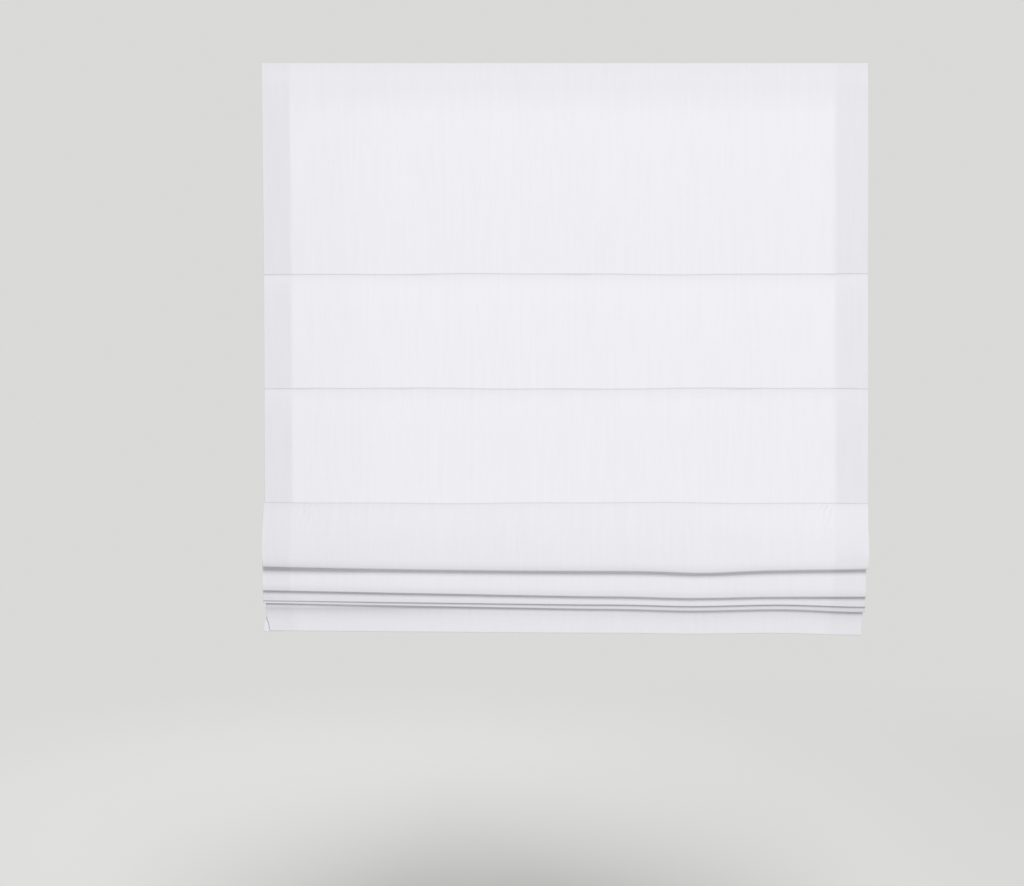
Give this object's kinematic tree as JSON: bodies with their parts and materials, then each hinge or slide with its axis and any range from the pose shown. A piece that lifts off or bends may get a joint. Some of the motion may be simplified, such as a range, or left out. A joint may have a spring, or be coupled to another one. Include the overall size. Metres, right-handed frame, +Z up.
{
  "type": "roman blind",
  "caption": "Cordless roman blind shown half raised: flat pale cloth on ribs, gathered into soft folds above a weighted hem, under a spring-lift headrail.",
  "frame": {"origin": "centre of the four bracket screw holes, in the face that meets the ceiling", "axes": "+X to the right seen from the room, +Y towards the window, +Z up; the cloth faces -Y"},
  "size_m": [1.2, 0.056, 1.1327],
  "materials": {
    "cloth": "plain linen-look weave, unlined",
    "aluminium": "satin anodised extrusion",
    "zinc_steel": "bright zinc plate",
    "spring_steel": "blued spring strip",
    "white_plastic": "moulded, fine matt",
    "ivory_plastic": "moulded, slippery",
    "fibreglass": "pultruded rod",
    "pocket_tape": "woven tape",
    "fastening_tape": "hook and loop pile",
    "braided_cord": "fine braid"
  },
  "bodies": {
    "headrail": {"headrail": "aluminium", "headrail_cap_left": "white_plastic", "headrail_cap_right": "white_plastic", "mounting_bracket_left": "zinc_steel", "mounting_bracket_right": "zinc_steel", "bracket_clip_left": "spring_steel", "bracket_clip_right": "spring_steel", "hook_tape": "fastening_tape", "loop_tape": "fastening_tape", "cloth_panel": "cloth", "cloth_front_fold": "cloth", "rib_1": "fibreglass", "rib_2": "fibreglass", "rib_3": "fibreglass", "rib_pocket_1": "pocket_tape", "rib_pocket_2": "pocket_tape", "rib_pocket_3": "pocket_tape", "cord_rings_hanging": "white_plastic", "spool_cradle_1": "white_plastic", "spool_cradle_2": "white_plastic", "spool_cradle_3": "white_plastic", "lift_cord_1": "braided_cord", "lift_cord_2": "braided_cord", "lift_cord_3": "braided_cord", "motor_case": "white_plastic", "motor_cover": "white_plastic", "power_spring": "spring_steel"},
    "gathered_stack": {"cloth_gathered": "cloth", "rib_4": "fibreglass", "rib_5": "fibreglass", "rib_6": "fibreglass", "rib_7": "fibreglass", "rib_pocket_4": "pocket_tape", "rib_pocket_5": "pocket_tape", "rib_pocket_6": "pocket_tape", "rib_pocket_7": "pocket_tape", "cord_rings_gathered": "white_plastic", "cord_anchors": "white_plastic", "bottom_bar": "aluminium", "bar_cap_left": "white_plastic", "bar_cap_right": "white_plastic"},
    "lift_rod": {"lift_rod": "zinc_steel", "cord_spool_1": "ivory_plastic", "cord_spool_2": "ivory_plastic", "cord_spool_3": "ivory_plastic", "output_drum": "ivory_plastic"},
    "storage_drum": {"storage_drum": "ivory_plastic"}
  },
  "joints": [
    {"name": "lift", "type": "slide", "parent": "headrail", "child": "gathered_stack", "axis": [0, 0, 1], "range_m": [-0.15, 0.048], "deforming": ["cloth_front_fold", "lift_cord_1", "lift_cord_2", "lift_cord_3"]},
    {"name": "lift_rod_turn", "type": "hinge", "parent": "headrail", "child": "lift_rod", "pos_m": [0, -0.00475, -0.0153], "axis": [1, 0, 0], "range_deg": [-1112, 358]},
    {"name": "storage_drum_turn", "type": "hinge", "parent": "headrail", "child": "storage_drum", "pos_m": [0.24, 0.00945, -0.0258], "axis": [1, 0, 0], "range_deg": [-335, 1040]}
  ],
  "couplings": [
    {"joint": "lift_rod_turn", "follows": "lift", "rad_per_m": 129.03},
    {"joint": "storage_drum_turn", "follows": "lift", "rad_per_m": -120.57}
  ]
}
